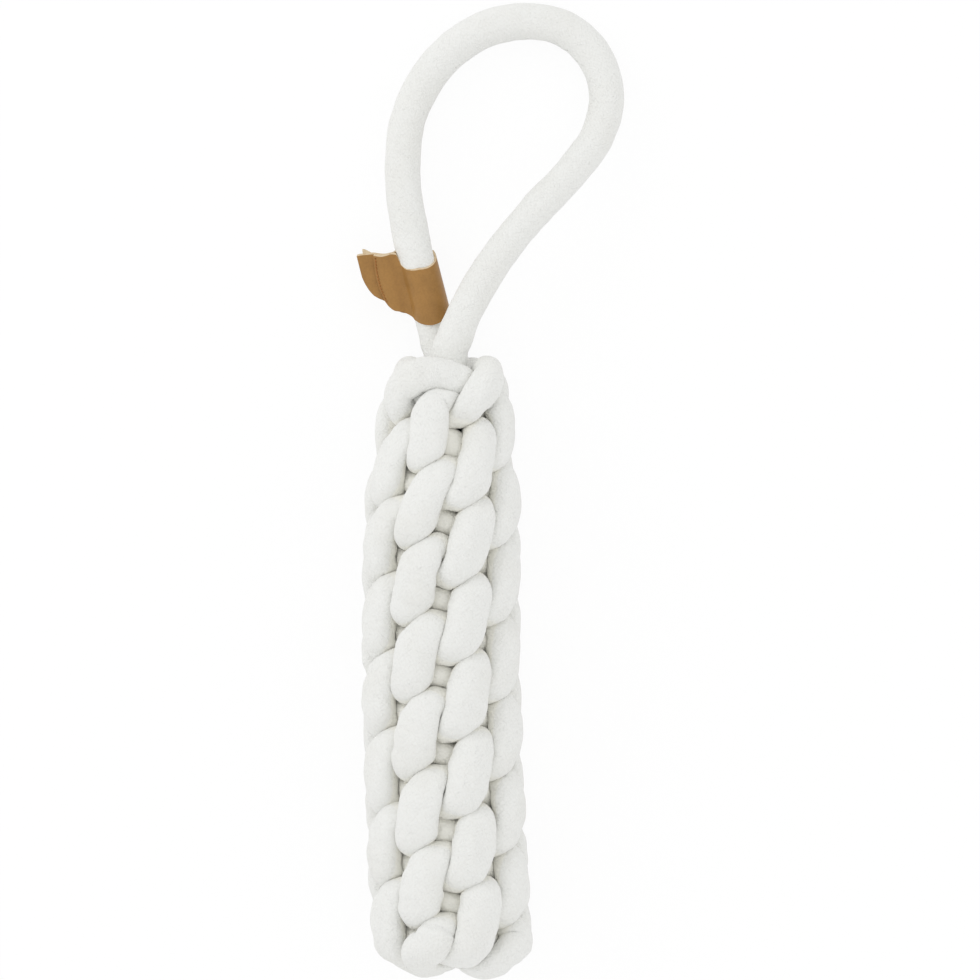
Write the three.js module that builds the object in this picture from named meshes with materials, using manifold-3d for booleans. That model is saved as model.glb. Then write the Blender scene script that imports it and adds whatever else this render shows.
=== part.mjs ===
import * as THREE from 'three';
import Module from 'manifold-3d';
import { mergeVertices } from 'three/addons/utils/BufferGeometryUtils.js';

const wasm = await Module();
wasm.setup();

// Rope dog toy: a round sinnet of four strands, crowned one tier on the last, with a
// loop of the same rope for a handle and a leather tag folded round one leg of the loop.
// It lies on a table: +Y runs along it to the loop, +X is to its right and +Z is up.

// Sizes that can be set by themselves
const ropeDiameter = 12;
const tierCount = 16;
const tierHeight = 12.3;
const pieceGap = 0.3;
const floorCutDepth = ropeDiameter / 10;
const leatherThickness = 1.1;
const tagHeight = 17;
const tagWaistDiameter = 9.8;
const tagClearance = 0.3;
const frontFlapReach = 13.3;
const backFlapReach = 18.4;
const flapFootRise = 10.5;
const flapFootStart = 4;
const stitchInset = 1.5;
const stitchPitch = 2.4;
const threadDiameter = 0.6;
const threadHoleDiameter = 1.5;

// The lay of the sinnet
const strandCount = 4;
const stitchTurn = THREE.MathUtils.degToRad(135);
const firstBendTurn = THREE.MathUtils.degToRad(-102.1);
const strandTurn = (2 * Math.PI) / strandCount;
const ropeSides = 9;

// One stitch, from the bend over the outside, across the crown, down under the next
// strand, out again and up the outside to the next bend. Turns are shares of a stitch's
// turn, tiers are shares of a tier's height, and the rest are shares of the rope.
const stitchShares = [
  { turn: 0.000, reach: 1.469, tier: 0.000, rise: 0.263, width: 0.783, depth: 0.667, outside: 0.5, steps: 2 },
  { turn: 0.096, reach: 1.063, tier: 0.000, rise: 0.342, width: 0.698, depth: 0.583, outside: 0.0, steps: 1 },
  { turn: 0.423, reach: 0.825, tier: 0.000, rise: 0.000, width: 0.717, depth: 0.600, outside: 0.0, steps: 1 },
  { turn: 0.750, reach: 1.063, tier: 0.000, rise: -0.342, width: 0.698, depth: 0.583, outside: 0.0, steps: 2 },
  { turn: 0.846, reach: 1.469, tier: 0.000, rise: -0.263, width: 0.783, depth: 0.667, outside: 0.5, steps: 1 },
  { turn: 0.889, reach: 1.647, tier: 0.000, rise: 0.042, width: 0.914, depth: 0.733, outside: 1.0, steps: 1 },
  { turn: 0.921, reach: 1.672, tier: 0.500, rise: 0.000, width: 1.000, depth: 0.767, outside: 1.0, steps: 1 },
  { turn: 0.957, reach: 1.647, tier: 1.000, rise: -0.042, width: 0.914, depth: 0.733, outside: 1.0, steps: 1 },
];

// From the last crown but one to the strand's tucked end, against that crown. The last
// crown is looser and lies closer than the others.
const topShares = [
  { turn: -0.030, reach: 1.469, tier: 0.000, rise: 0.150, width: 0.730, depth: 0.667, outside: 0.5, steps: 2 },
  { turn: 0.076, reach: 1.063, tier: 0.000, rise: 0.275, width: 0.560, depth: 0.583, outside: 0.0, steps: 1 },
  { turn: 0.423, reach: 0.845, tier: 0.000, rise: 0.000, width: 0.680, depth: 0.600, outside: 0.0, steps: 1 },
  { turn: 0.750, reach: 1.063, tier: 0.000, rise: -0.342, width: 0.600, depth: 0.583, outside: 0.0, steps: 2 },
  { turn: 0.846, reach: 1.490, tier: 0.000, rise: -0.190, width: 0.720, depth: 0.640, outside: 0.5, steps: 1 },
  { turn: 0.895, reach: 1.650, tier: 0.000, rise: 0.120, width: 0.914, depth: 0.733, outside: 1.0, steps: 1 },
  { turn: 0.940, reach: 1.670, tier: 0.000, rise: 0.400, width: 0.980, depth: 0.767, outside: 1.0, steps: 1 },
  { turn: 1.000, reach: 1.560, tier: 0.000, rise: 0.700, width: 0.900, depth: 0.760, outside: 0.6, steps: 2 },
  { turn: 1.110, reach: 1.300, tier: 0.000, rise: 0.960, width: 0.760, depth: 0.740, outside: 0.2, steps: 1 },
  { turn: 1.380, reach: 1.080, tier: 0.000, rise: 0.820, width: 0.760, depth: 0.740, outside: 0.0, steps: 1 },
  { turn: 1.680, reach: 1.060, tier: 0.000, rise: 0.350, width: 0.460, depth: 0.540, outside: 0.0, steps: 1 },
  { turn: 1.780, reach: 0.960, tier: 0.000, rise: 0.250, width: 0.420, depth: 0.460, outside: 0.0, steps: 1 },
];

// Half of the bight that joins two opposite strands under the first crown, from the
// middle outwards. The lower bight passes under the upper one at the middle.
const upperBightShares = [
  { turn: -0.24, reach: 0.00, rise: -0.24, width: 0.70, depth: 0.48, outside: 0, steps: 1 },
  { turn: -0.24, reach: 0.62, rise: -0.59, width: 0.72, depth: 0.50, outside: 0, steps: 1 },
  { turn: -0.22, reach: 1.12, rise: -0.68, width: 0.80, depth: 0.60, outside: 0, steps: 2 },
  { turn: -0.14, reach: 1.56, rise: -0.44, width: 0.86, depth: 0.66, outside: 0.5, steps: 1 },
];
const lowerBightShares = [
  { turn: -0.24, reach: 0.00, rise: -0.86, width: 0.80, depth: 0.48, outside: 0, steps: 1 },
  { turn: -0.24, reach: 0.55, rise: -0.84, width: 0.80, depth: 0.52, outside: 0, steps: 1 },
  { turn: -0.22, reach: 1.12, rise: -0.70, width: 0.80, depth: 0.60, outside: 0, steps: 2 },
  { turn: -0.14, reach: 1.56, rise: -0.44, width: 0.86, depth: 0.66, outside: 0.5, steps: 1 },
];

// How the finished body lies: drawn in at the top, fuller at the foot, a little bowed,
// and sunk so that the lowest stitches lie on the table all along.
const footGirthShare = 1.07;
const middleGirthShare = 1.04;
const topGirthShare = 0.895;
const drawnInShares = [0.7, 0.93];
const bowShares = [0.34, -0.2, 0.24];
const sagShare = 0.16;
const saggedShares = [0.03, 0.2];
const topTwist = THREE.MathUtils.degToRad(16);
const twistedShares = [0.6, 1.033];
const bodyLength = (tierCount - 1) * tierHeight;
const halfColumnTurn = Math.PI / (2 * strandCount);
const outsideShare = stitchShares.reduce((widest, share) => (share.reach > widest.reach ? share : widest));
const lowestReach = ropeDiameter * (outsideShare.reach * Math.cos(halfColumnTurn) + Math.hypot(
  outsideShare.depth / 2 * Math.cos(halfColumnTurn),
  outsideShare.width / 2 * Math.sin(halfColumnTurn),
));

function girthAt(along) {
  const share = along / bodyLength;
  const swell = THREE.MathUtils.lerp(footGirthShare, middleGirthShare, Math.min(1, Math.max(0, share)));
  const drawnIn = THREE.MathUtils.smoothstep(share, ...drawnInShares);
  return THREE.MathUtils.lerp(swell, topGirthShare, drawnIn);
}

function bowAt(along) {
  const share = along / bodyLength;
  const [foot, middle, top] = bowShares;
  const bow = (1 - share) ** 2 * foot + 2 * share * (1 - share) * middle + share ** 2 * top;
  return ropeDiameter * bow;
}

function settle(point) {
  const share = point.y / bodyLength;
  const along = point.y - sagShare * ropeDiameter * THREE.MathUtils.smoothstep(share, ...saggedShares);
  const girth = girthAt(along);
  const twist = topTwist * THREE.MathUtils.smoothstep(share, ...twistedShares);
  const aside = point.x * Math.cos(twist) + point.z * Math.sin(twist);
  const height = point.z * Math.cos(twist) - point.x * Math.sin(twist);
  return new THREE.Vector3(
    aside * girth + bowAt(along),
    along,
    (height + lowestReach) * girth - floorCutDepth,
  );
}

// A closed tube of oval rings along stations. Each station has a centre, a width, a depth
// and the number of steps to the next, and acrossAt gives the width's direction.
function ropeRings(stations, sides, acrossAt) {
  const curve = new THREE.CatmullRomCurve3(stations.map((station) => station.centre), false, 'centripetal');
  const spans = stations.length - 1;
  const rings = [];
  let lastAcross = null;
  const addRing = (span, part) => {
    const place = (span + part) / spans;
    const centre = curve.getPoint(place);
    const tangent = curve.getTangent(place);
    const from = stations[span];
    const to = stations[Math.min(span + 1, spans)];
    const mix = (name) => THREE.MathUtils.lerp(from[name], to[name], part);
    const across = acrossAt(centre, tangent, mix);
    across.addScaledVector(tangent, -across.dot(tangent)).normalize();
    if (lastAcross && across.dot(lastAcross) < 0) {
      across.negate();
    }
    lastAcross = across.clone();
    const through = new THREE.Vector3().crossVectors(tangent, across).normalize();
    const points = [];
    for (let side = 0; side < sides; side += 1) {
      const angle = (2 * Math.PI * (side + 0.5)) / sides;
      const point = centre.clone();
      point.addScaledVector(across, mix('width') / 2 * Math.cos(angle));
      point.addScaledVector(through, mix('depth') / 2 * Math.sin(angle));
      points.push(point);
    }
    rings.push({ centre, points });
  };
  for (let span = 0; span < spans; span += 1) {
    for (let step = 0; step < stations[span].steps; step += 1) {
      addRing(span, step / stations[span].steps);
    }
  }
  addRing(spans, 0);
  return rings;
}

function tubeGeometry(rings, place) {
  const sides = rings[0].points.length;
  const positions = [];
  const triangles = [];
  const push = (point) => positions.push(...place(point).toArray());
  rings.forEach((ring) => ring.points.forEach(push));
  for (let ring = 0; ring + 1 < rings.length; ring += 1) {
    for (let side = 0; side < sides; side += 1) {
      const here = ring * sides + side;
      const next = ring * sides + (side + 1) % sides;
      triangles.push(here, next, next + sides, here, next + sides, here + sides);
    }
  }
  const lastRing = rings.length - 1;
  push(rings[0].centre);
  push(rings[lastRing].centre);
  const firstCap = rings.length * sides;
  for (let side = 0; side < sides; side += 1) {
    const next = (side + 1) % sides;
    triangles.push(firstCap, next, side);
    triangles.push(firstCap + 1, lastRing * sides + side, lastRing * sides + next);
  }
  const geometry = new THREE.BufferGeometry();
  geometry.setAttribute('position', new THREE.Float32BufferAttribute(positions, 3));
  geometry.setIndex(triangles);
  return geometry;
}

function solidFrom(geometry) {
  const bare = geometry.clone();
  bare.deleteAttribute('normal');
  bare.deleteAttribute('uv');
  const merged = mergeVertices(bare);
  return new wasm.Manifold(new wasm.Mesh({
    numProp: 3,
    vertProperties: new Float32Array(merged.attributes.position.array),
    triVerts: new Uint32Array(merged.index.array),
  }));
}

function geometryFrom(solid) {
  const mesh = solid.getMesh();
  const geometry = new THREE.BufferGeometry();
  geometry.setAttribute('position', new THREE.BufferAttribute(mesh.vertProperties, 3));
  geometry.setIndex(new THREE.BufferAttribute(mesh.triVerts, 1));
  return geometry;
}

// The braid's two ropes, each doubled at its middle under the first crown
function plan(turn, reach, rise) {
  return new THREE.Vector3(reach * Math.sin(turn), rise, reach * Math.cos(turn));
}

function station(share, turn, along) {
  return {
    centre: plan(turn, share.reach * ropeDiameter, along),
    width: share.width * ropeDiameter - pieceGap,
    depth: share.depth * ropeDiameter - pieceGap,
    outside: share.outside,
    steps: share.steps,
  };
}

function strandStations(strand, bightShares) {
  const startTurn = firstBendTurn + strand * strandTurn;
  const stations = [];
  for (const share of bightShares) {
    stations.push(station(share, startTurn + share.turn * stitchTurn, share.rise * ropeDiameter));
  }
  const riser = stitchShares[stitchShares.length - 1];
  stations.push(station(riser, startTurn + (riser.turn - 1) * stitchTurn, riser.rise * ropeDiameter));
  const topTier = tierCount - 2;
  for (let tier = 0; tier <= topTier; tier += 1) {
    const shares = tier === topTier ? topShares : stitchShares;
    shares.forEach((share) => {
      const turn = startTurn + (tier + share.turn) * stitchTurn;
      const along = (tier + share.tier) * tierHeight + share.rise * ropeDiameter;
      stations.push(station(share, turn, along));
    });
  }
  return stations;
}

// The width lies round the body on the outside, and level in the crowns
function strandAcross(centre, tangent, mix) {
  const outward = new THREE.Vector3(centre.x, 0, centre.z).normalize();
  const round = new THREE.Vector3().crossVectors(tangent, outward).normalize();
  const level = new THREE.Vector3().crossVectors(tangent, new THREE.Vector3(0, 1, 0)).normalize();
  if (round.dot(level) < 0) {
    level.negate();
  }
  return level.lerp(round, mix('outside'));
}

function braidRopeGeometry(strand, bightShares) {
  const up = strandStations(strand, bightShares);
  const down = strandStations(strand + strandCount / 2, bightShares).slice(1).reverse();
  down.forEach((place, index) => {
    const next = down[Math.min(index + 1, down.length - 1)];
    place.steps = next.steps;
  });
  const rings = ropeRings([...down, ...up], ropeSides, strandAcross);
  return tubeGeometry(rings, settle);
}

// The handle: its two tails lie squeezed in the middle of the braid, and the loop's
// route points are chosen by hand, from the left leg round to the right one. Each is
// given to the right, above the last crown and from the table.
const tailWidth = 8.5;
const tailDepth = 4.6;
const tailOffset = 2.45;
const tailFoot = 3;
const tailTop = bodyLength + ropeDiameter / 4;
const tailRingPitch = 3 * tierHeight;
const loopRoute = [
  [0.4, 4.1, 13.4], [-0.6, 7.1, 12.6], [-1.6, 10.3, 12.3], [-8.8, 38.2, 10.8], [-10.4, 45.9, 10.3],
  [-11.6, 54.3, 9.8], [-12.0, 65.5, 9.0], [-10.2, 78.5, 8.2], [-4.6, 90.7, 7.4], [3.0, 99.7, 6.8],
  [14.0, 106.9, 6.4], [28.4, 109.7, 6.2], [41.2, 106.5, 6.3], [50.0, 97.7, 6.8], [53.4, 85.5, 7.8],
  [50.4, 72.7, 10.0], [42.2, 61.3, 12.6], [31.2, 49.4, 15.6], [22.4, 39.1, 18.2], [14.4, 27.6, 20.9],
  [8.2, 16.5, 23.4], [4.6, 7.7, 24.8], [3.2, 4.1, 24.2],
].map(([right, above, height]) => new THREE.Vector3(right, bodyLength + above, height));
const neckPointCount = 2;
const [legFootPoint, legHeadPoint] = loopRoute.slice(neckPointCount);
const loopDiameter = ropeDiameter - pieceGap;
const neckWidth = 10.2;
const neckDepth = 8;
const loopSteps = 2;
const legParts = 3;
const threadSides = 6;

function tailStations(side) {
  const stations = [];
  const rings = Math.round((tailTop - tailFoot) / tailRingPitch);
  for (let ring = 0; ring <= rings; ring += 1) {
    const along = THREE.MathUtils.lerp(tailFoot, tailTop, ring / rings);
    const centre = settle(new THREE.Vector3(0, along, side * tailOffset));
    const girth = girthAt(centre.y);
    stations.push({ centre, width: tailWidth * girth, depth: tailDepth * girth, steps: 1 });
  }
  return stations;
}

function handleGeometry() {
  const last = loopRoute.length - 1;
  const loop = [];
  loopRoute.forEach((point, index) => {
    const waist = point === legFootPoint || point === legHeadPoint;
    const size = waist ? tagWaistDiameter : loopDiameter;
    const neck = index === 0 || index === last;
    loop.push({
      centre: point,
      width: neck ? neckWidth : size,
      depth: neck ? neckDepth : size,
      steps: loopSteps,
    });
    if (point === legFootPoint) {
      for (let part = 1; part < legParts; part += 1) {
        const centre = legFootPoint.clone().lerp(legHeadPoint, part / legParts);
        loop.push({ centre, width: size, depth: size, steps: 1 });
      }
    }
  });
  const stations = [...tailStations(-1), ...loop, ...tailStations(1).reverse()];
  const across = (centre, tangent) => new THREE.Vector3().crossVectors(tangent, new THREE.Vector3(0, 0, 1));
  return tubeGeometry(ropeRings(stations, ropeSides, across), (point) => point);
}

// The tag: one strap of leather, wrapped round the left leg from behind, with its two
// flaps laid together to the left and stitched. Across is to the right of the leg,
// through is away from the table and along is up the leg.
const legAlong = legHeadPoint.clone().sub(legFootPoint).normalize();
const legAcross = new THREE.Vector3().crossVectors(legAlong, new THREE.Vector3(0, 0, 1)).normalize();
const legThrough = new THREE.Vector3().crossVectors(legAcross, legAlong);
const tagPlaceShare = 0.515;
const tagCentre = legFootPoint.clone().lerp(legHeadPoint, tagPlaceShare);
const sleeveInner = tagWaistDiameter / 2 + tagClearance;
const sleeveOuter = sleeveInner + leatherThickness;
const pinchTurn = THREE.MathUtils.degToRad(148);
const frontDipShare = 0.8;
const headSlopeShare = 0.27;
const flapSteps = 6;

function tagEdges(across) {
  const share = THREE.MathUtils.smoothstep(-across, flapFootStart, backFlapReach);
  return {
    foot: -tagHeight / 2 + flapFootRise * share,
    head: tagHeight / 2 + headSlopeShare * (sleeveOuter - across),
  };
}

function tagPoint(across, through, along) {
  const point = tagCentre.clone();
  point.addScaledVector(legAcross, across);
  point.addScaledVector(legThrough, through);
  return point.addScaledVector(legAlong, along - frontDipShare * Math.max(0, through));
}

// Where the line that leaves a circle at a turn meets a level to the left of it
function pinchPoint(radius, level) {
  const fall = radius * Math.sin(pinchTurn) - level;
  return new THREE.Vector2(radius * Math.cos(pinchTurn) + fall * Math.tan(pinchTurn), level);
}

function tagProfile() {
  const inside = pieceGap / 2;
  const outside = inside + leatherThickness;
  const outer = pinchPoint(sleeveOuter, outside);
  const inner = pinchPoint(sleeveInner, inside);
  const bendRun = leatherThickness;
  const shape = new THREE.Shape();
  const runTo = (fromAcross, toAcross, level) => {
    for (let step = 1; step <= flapSteps; step += 1) {
      shape.lineTo(THREE.MathUtils.lerp(fromAcross, toAcross, step / flapSteps), level);
    }
  };
  shape.moveTo(-frontFlapReach, inside);
  shape.lineTo(-frontFlapReach, outside);
  runTo(-frontFlapReach, outer.x - bendRun, outside);
  shape.quadraticCurveTo(
    outer.x,
    outside,
    sleeveOuter * Math.cos(pinchTurn),
    sleeveOuter * Math.sin(pinchTurn),
  );
  shape.absarc(0, 0, sleeveOuter, pinchTurn, -pinchTurn, true);
  shape.quadraticCurveTo(outer.x, -outside, outer.x - bendRun, -outside);
  runTo(outer.x - bendRun, -backFlapReach, -outside);
  shape.lineTo(-backFlapReach, -inside);
  runTo(-backFlapReach, inner.x - bendRun, -inside);
  shape.quadraticCurveTo(
    inner.x,
    -inside,
    sleeveInner * Math.cos(pinchTurn),
    -sleeveInner * Math.sin(pinchTurn),
  );
  shape.absarc(0, 0, sleeveInner, -pinchTurn, pinchTurn, false);
  shape.quadraticCurveTo(inner.x, inside, inner.x - bendRun, inside);
  runTo(inner.x - bendRun, -frontFlapReach, inside);
  return shape;
}

function stitchHoles() {
  const across = stitchInset - frontFlapReach;
  const edges = tagEdges(across);
  const count = Math.floor((edges.head - edges.foot - 2 * stitchInset) / stitchPitch) + 1;
  const start = (edges.head + edges.foot - (count - 1) * stitchPitch) / 2;
  return Array.from({ length: count }, (unused, index) => ({ across, along: start + index * stitchPitch }));
}

function leatherTagGeometry() {
  const strap = new THREE.ExtrudeGeometry(tagProfile(), {
    depth: 1,
    steps: 1,
    bevelEnabled: false,
    curveSegments: 5,
  });
  const places = strap.attributes.position;
  for (let index = 0; index < places.count; index += 1) {
    const across = places.getX(index);
    const edges = tagEdges(across);
    const along = THREE.MathUtils.lerp(edges.head, edges.foot, places.getZ(index));
    const point = tagPoint(across, places.getY(index), along);
    places.setXYZ(index, point.x, point.y, point.z);
  }
  let tag = solidFrom(strap);
  const square = new THREE.Quaternion().setFromUnitVectors(new THREE.Vector3(0, 1, 0), legThrough);
  for (const hole of stitchHoles()) {
    const radius = threadHoleDiameter / 2;
    const punch = new THREE.CylinderGeometry(radius, radius, sleeveOuter, 8);
    punch.applyQuaternion(square);
    const centre = tagPoint(hole.across, 0, hole.along);
    punch.translate(centre.x, centre.y, centre.z);
    tag = tag.subtract(solidFrom(punch));
  }
  return geometryFrom(tag);
}

// A running stitch, over the front flap and under the back one in turn
function tagThreadGeometry() {
  const surface = pieceGap / 2 + leatherThickness;
  const run = surface + pieceGap + threadDiameter / 2;
  const stations = [];
  const put = (across, through, along) => {
    const centre = tagCentre.clone();
    centre.addScaledVector(legAcross, across).addScaledVector(legThrough, through);
    centre.addScaledVector(legAlong, along);
    stations.push({ centre, width: threadDiameter, depth: threadDiameter, steps: 1 });
  };
  const holes = stitchHoles();
  let side = -1;
  put(holes[0].across, side * run, holes[0].along - stitchPitch / 2);
  holes.forEach((hole, index) => {
    const turn = index === 0 ? 0 : threadDiameter / 2;
    put(hole.across, side * surface, hole.along - turn / 2);
    put(hole.across, -side * surface, hole.along + turn / 2);
    side = -side;
    put(hole.across, side * run, hole.along + stitchPitch / 2);
  });
  const across = () => legAcross.clone();
  return tubeGeometry(ropeRings(stations, threadSides, across), (point) => point);
}

// The table under the toy, which presses the lowest stitches flat
function cutAtTable(geometry) {
  const table = new THREE.BoxGeometry(4 * bodyLength, 4 * bodyLength, bodyLength);
  table.translate(0, 0, -bodyLength / 2);
  return geometryFrom(solidFrom(geometry).subtract(solidFrom(table)));
}

const leatherMaterial = new THREE.MeshStandardMaterial({ color: 0xa57341, roughness: 0.6, metalness: 0 });
const threadMaterial = new THREE.MeshStandardMaterial({ color: 0x8a5a30, roughness: 0.8, metalness: 0 });
const ropeMaterial = () => new THREE.MeshStandardMaterial({ color: 0xebece7, roughness: 0.95, metalness: 0 });

const toy = new THREE.Group();

function addPiece(name, geometry, material) {
  const mesh = new THREE.Mesh(geometry, material);
  mesh.name = name;
  toy.add(mesh);
}

addPiece('braid_rope_a', cutAtTable(braidRopeGeometry(0, upperBightShares)), ropeMaterial());
addPiece('braid_rope_b', cutAtTable(braidRopeGeometry(1, lowerBightShares)), ropeMaterial());
addPiece('handle_rope', handleGeometry(), ropeMaterial());
addPiece('leather_tag', leatherTagGeometry(), leatherMaterial);
addPiece('tag_thread', tagThreadGeometry(), threadMaterial);

const bounds = new THREE.Box3().setFromObject(toy);
const middle = bounds.getCenter(new THREE.Vector3());
toy.position.set(-middle.x, -middle.y, -bounds.min.z);

export default toy;
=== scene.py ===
"""Rope dog toy: a crowned rope sinnet with a loop handle and a folded leather tag.

The toy lies on a table and is seen from straight above. Every piece is made in metres, in
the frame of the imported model, and stands for the node whose place it takes.
"""

import logging
import math
from collections.abc import Callable
from dataclasses import dataclass, replace
from enum import Enum

import bpy
import numpy as np
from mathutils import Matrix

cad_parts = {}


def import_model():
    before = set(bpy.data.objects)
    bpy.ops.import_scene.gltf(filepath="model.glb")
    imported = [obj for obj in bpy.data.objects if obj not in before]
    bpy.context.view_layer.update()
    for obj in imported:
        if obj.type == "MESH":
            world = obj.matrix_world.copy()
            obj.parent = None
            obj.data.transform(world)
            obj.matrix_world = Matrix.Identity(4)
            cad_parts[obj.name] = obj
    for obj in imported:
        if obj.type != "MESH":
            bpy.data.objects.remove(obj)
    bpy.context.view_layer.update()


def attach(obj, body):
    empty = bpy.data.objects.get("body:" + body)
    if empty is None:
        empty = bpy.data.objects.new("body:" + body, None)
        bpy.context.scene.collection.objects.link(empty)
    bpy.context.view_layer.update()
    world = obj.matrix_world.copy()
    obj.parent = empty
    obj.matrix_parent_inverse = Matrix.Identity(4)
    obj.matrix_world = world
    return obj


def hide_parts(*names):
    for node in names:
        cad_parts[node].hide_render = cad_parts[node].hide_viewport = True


log = logging.getLogger("rope_dog_toy")

Piece = bpy.types.Object
Material = bpy.types.Material
Node = bpy.types.Node
NodeTree = bpy.types.NodeTree
Socket = bpy.types.NodeSocket
Span = tuple[float, float]
Vector = tuple[float, float, float]
Colour = tuple[float, float, float, float]
Rows = tuple[tuple[float, ...], ...]

MM = 0.001
TINY = 1e-12
MERGE_DISTANCE = 0.001 * MM
UP = np.array([0.0, 0.0, 1.0])
ALONG = np.array([0.0, 1.0, 0.0])
WHITE: Colour = (1.0, 1.0, 1.0, 1.0)


class Body(Enum):
    """The bodies that pieces ride on."""

    ROPE = "rope"
    TAG = "tag"


class Slot(Enum):
    """The record's material slots."""

    COTTON = "cotton_rope"
    LEATHER = "tan_leather"
    THREAD = "tag_thread"


def unit(vectors: np.ndarray) -> np.ndarray:
    """Scales vectors along the last axis to a length of one."""
    return vectors / np.maximum(np.linalg.norm(vectors, axis=-1, keepdims=True), TINY)


def smoothstep(value: np.ndarray, low: float, high: float) -> np.ndarray:
    """Eases from 0 at low to 1 at high."""
    part = np.clip((value - low) / (high - low), 0.0, 1.0)
    return part * part * (3.0 - 2.0 * part)


def over(top: np.ndarray | float, bottom: np.ndarray) -> np.ndarray:
    """Divides where the bottom is above zero, and is infinite elsewhere."""
    return np.where(bottom > TINY, top / np.maximum(bottom, TINY), np.inf)


def travelled(points: np.ndarray) -> np.ndarray:
    """Works out each point's distance along the line through them all."""
    return np.append(0.0, np.cumsum(np.linalg.norm(np.diff(points, axis=0), axis=1)))


def spline(points: np.ndarray, steps: int) -> tuple[np.ndarray, np.ndarray]:
    """Runs a centripetal spline through points.

    Args:
        points: Points that the curve passes through, one row each.
        steps: Samples from each point to the next.

    Returns:
        The samples, and each sample's place counted in points.
    """
    held = np.vstack([2 * points[0] - points[1], points, 2 * points[-1] - points[-2]])
    gaps = np.linalg.norm(np.diff(held, axis=0), axis=1) ** 0.5
    t = np.arange(steps)[:, None] / steps
    samples = []
    for span in range(len(points) - 1):
        before, here, there, after = held[span : span + 4]
        gap_in, gap, gap_out = gaps[span : span + 3]
        leave = (here - before) / gap_in - (there - before) / (gap_in + gap) + (there - here) / gap
        arrive = (there - here) / gap - (after - here) / (gap + gap_out) + (after - there) / gap_out
        start = (2 * t**3 - 3 * t**2 + 1) * here + (t**3 - 2 * t**2 + t) * leave * gap
        samples.append(start + (3 * t**2 - 2 * t**3) * there + (t**3 - t**2) * arrive * gap)
    places = np.arange((len(points) - 1) * steps + 1) / steps
    return np.vstack([*samples, points[-1:]]), places


@dataclass
class Run:
    """A rope's centreline, cut into even rings, with the section it would have if free.

    Across and through are the ways of its width and its depth, travel is the distance along
    it, and core weighs how much of the space beside another rope it holds.
    """

    centre: np.ndarray
    across: np.ndarray
    through: np.ndarray
    half_width: np.ndarray
    half_depth: np.ndarray
    travel: np.ndarray
    core: np.ndarray


@dataclass
class Station:
    """A place that a rope passes through, and whether its width lies along the body's outside."""

    centre: np.ndarray
    width: float
    depth: float
    outside: float = 0.0


def steady_mix(first: np.ndarray, second: np.ndarray, share: np.ndarray) -> np.ndarray:
    """Mixes two directions at each ring, with the signs that turn least from ring to ring.

    Args:
        first: Each ring's direction where the share is 0.
        second: Each ring's direction where the share is 1.
        share: Each ring's share of the second direction.

    Returns:
        One direction for each ring.
    """
    ways = [first[0]]
    for one, other, part in zip(first, second, share):
        pair = unit(one * (1 - part) + np.outer((part, -part), other))
        turns = pair @ ways[-1]
        best = int(np.argmax(np.abs(turns)))
        ways.append(pair[best] if turns[best] >= 0 else -pair[best])
    return np.array(ways[1:])


def lay_run(stations: list[Station], pitch: float, level: bool, samples: int = 24) -> Run:
    """Cuts a rope that passes through stations into even rings.

    Args:
        stations: The places that the rope passes through.
        pitch: The distance from ring to ring.
        level: Whether the width lies level everywhere, as it does in the handle.
        samples: Curve samples from each station to the next, before they are evened out.

    Returns:
        The rope's rings.
    """
    centres, places = spline(np.array([s.centre for s in stations]), samples)
    travel = travelled(centres)
    even = np.linspace(0.0, travel[-1], int(round(travel[-1] / pitch)) + 1)
    centre = np.stack([np.interp(even, travel, side) for side in centres.T], axis=1)
    place = np.interp(even, travel, places)

    def mixed(name: str) -> np.ndarray:
        """Each ring's value of a station's size."""
        return np.interp(place, np.arange(len(stations)), [getattr(s, name) for s in stations])

    tangent = unit(np.gradient(centre, axis=0))
    across = unit(np.cross(tangent, UP if level else ALONG))
    if not level:
        outward = unit(centre - centre * ALONG)
        across = steady_mix(across, unit(np.cross(tangent, outward)), mixed("outside"))
    across = unit(across - tangent * np.sum(across * tangent, axis=1, keepdims=True))
    width, depth = mixed("width"), mixed("depth")
    through = unit(np.cross(tangent, across))
    return Run(centre, across, through, width / 2, depth / 2, even, np.minimum(width, depth) / 2)


@dataclass
class Lumps:
    """Soft unevenness in a rope, where its filling is fuller or thinner."""

    seed: int
    height: float
    waves: int = 26
    shortest: float = 5 * MM
    longest: float = 32 * MM
    most_round: int = 4

    def heights(self, travel: np.ndarray, turn: np.ndarray) -> np.ndarray:
        """Works out the unevenness.

        Args:
            travel: Each ring's distance along the rope.
            turn: Each side's angle round it.

        Returns:
            One row for each ring, with a height for each side.
        """
        dice = np.random.default_rng(self.seed)
        total = np.zeros((len(travel), len(turn)))
        for _ in range(self.waves):
            length = dice.uniform(self.shortest, self.longest)
            times = dice.integers(0, self.most_round + 1)
            start = dice.uniform(0, 2 * np.pi)
            wave = times * turn[None, :] + 2 * np.pi * travel[:, None] / length + start
            total += self.height * np.sin(wave)
        return total


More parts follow.
